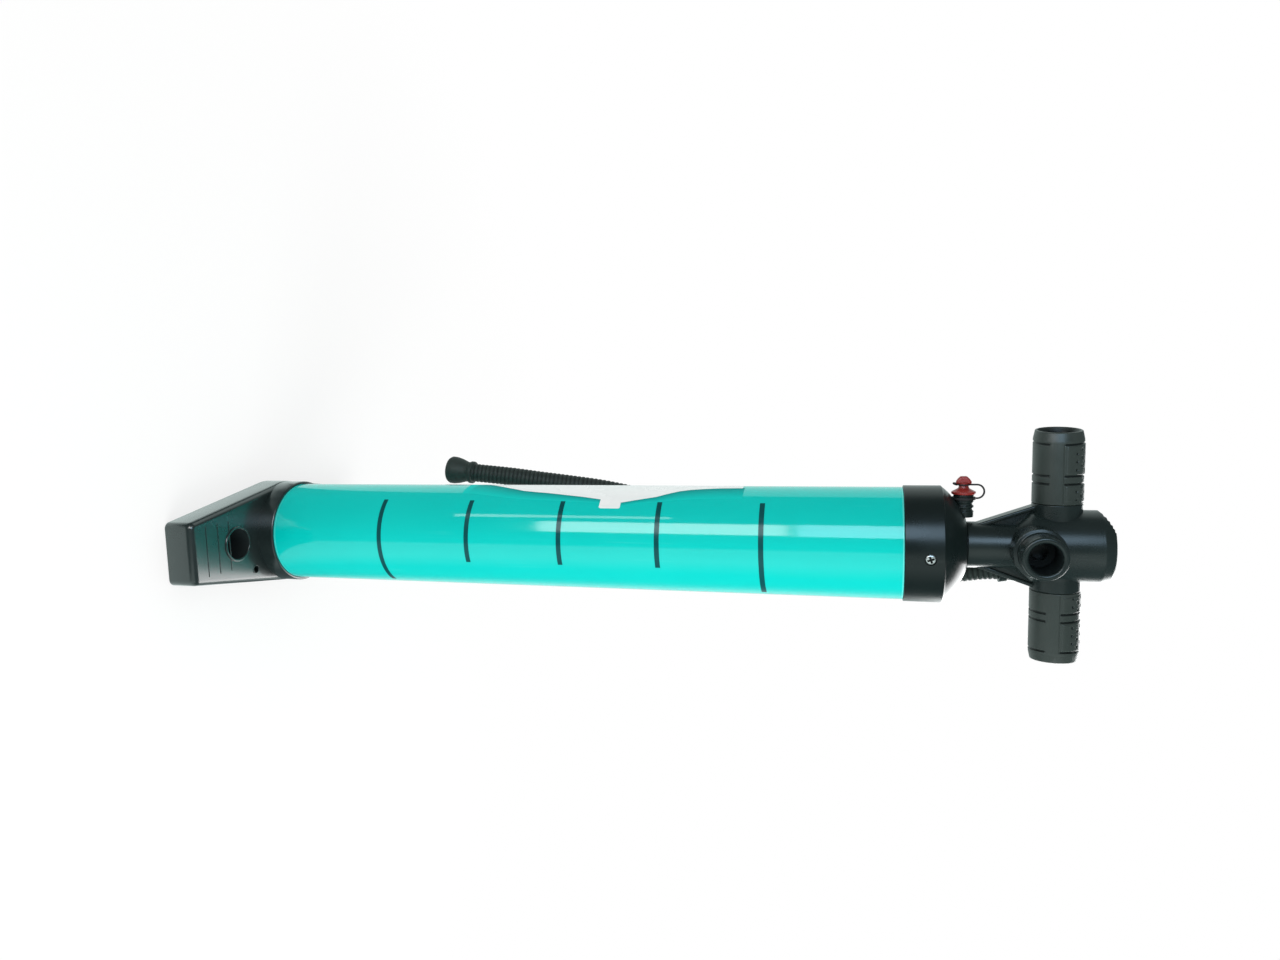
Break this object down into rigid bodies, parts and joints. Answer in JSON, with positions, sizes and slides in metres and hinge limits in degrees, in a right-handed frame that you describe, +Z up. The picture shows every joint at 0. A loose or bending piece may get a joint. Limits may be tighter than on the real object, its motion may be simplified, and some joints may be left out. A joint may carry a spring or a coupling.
{
  "type": "upright two-way hand pump",
  "caption": "Upright hand air pump with winged foot, straight barrel, screwed domed cap, T-handle with an open port, pull-out vent plug and a corrugated hose.",
  "frame": {"origin": "on the barrel's axis, at the underside of the foot", "axes": "+Z up along the barrel, the foot's wings along Y, the handle's grips along X, the open port towards -Y and the vent plug towards -X"},
  "size_m": [0.14, 0.196, 0.5802],
  "materials": {
    "black_plastic": "satin moulded black",
    "grip_plastic": "fine-grained moulded dark grey",
    "teal_plastic": "glossy extruded teal",
    "red_plastic": "glossy moulded red",
    "screw_steel": "zinc-plated",
    "rod_metal": "drawn tube",
    "inner_plastic": "natural moulded white",
    "seal_rubber": "soft black",
    "hose_plastic": "ribbed black"
  },
  "bodies": {
    "barrel": {"foot_base": "black_plastic", "base_gasket": "seal_rubber", "end_bumper": "seal_rubber", "barrel": "teal_plastic", "top_cap": "black_plastic", "cap_gasket": "seal_rubber", "cap_screws": "screw_steel", "rod_bush": "inner_plastic", "rod_seal": "seal_rubber", "vent_stub": "black_plastic", "plug_tether": "seal_rubber"},
    "piston": {"piston_head": "inner_plastic", "piston_cover": "inner_plastic", "piston_screws": "screw_steel", "lower_cup": "seal_rubber", "upper_cup": "seal_rubber", "suction_flap": "seal_rubber", "delivery_flap": "seal_rubber"},
    "handle": {"rod_collar": "rod_metal", "rod": "rod_metal", "delivery_tube": "inner_plastic", "handle_body": "black_plastic", "hub_partition": "inner_plastic", "hub_cap": "black_plastic", "grip_left": "grip_plastic", "grip_right": "grip_plastic", "elbow_seal": "seal_rubber", "hose_elbow": "black_plastic", "hose": "hose_plastic", "hose_cuff": "black_plastic"},
    "plug": {"vent_plug": "red_plastic"}
  },
  "joints": [
    {"name": "pump_stroke", "type": "slide", "parent": "barrel", "child": "piston", "axis": [0, 0, 1], "range_m": [0, 0.415]},
    {"name": "handle_spin", "type": "hinge", "parent": "piston", "child": "handle", "pos_m": [0, 0, 0.55], "axis": [0, 0, 1], "continuous": true},
    {"name": "plug_pull", "type": "slide", "parent": "barrel", "child": "plug", "axis": [-1, 0, 0], "range_m": [0, 0.009], "deforming": ["plug_tether"]}
  ]
}
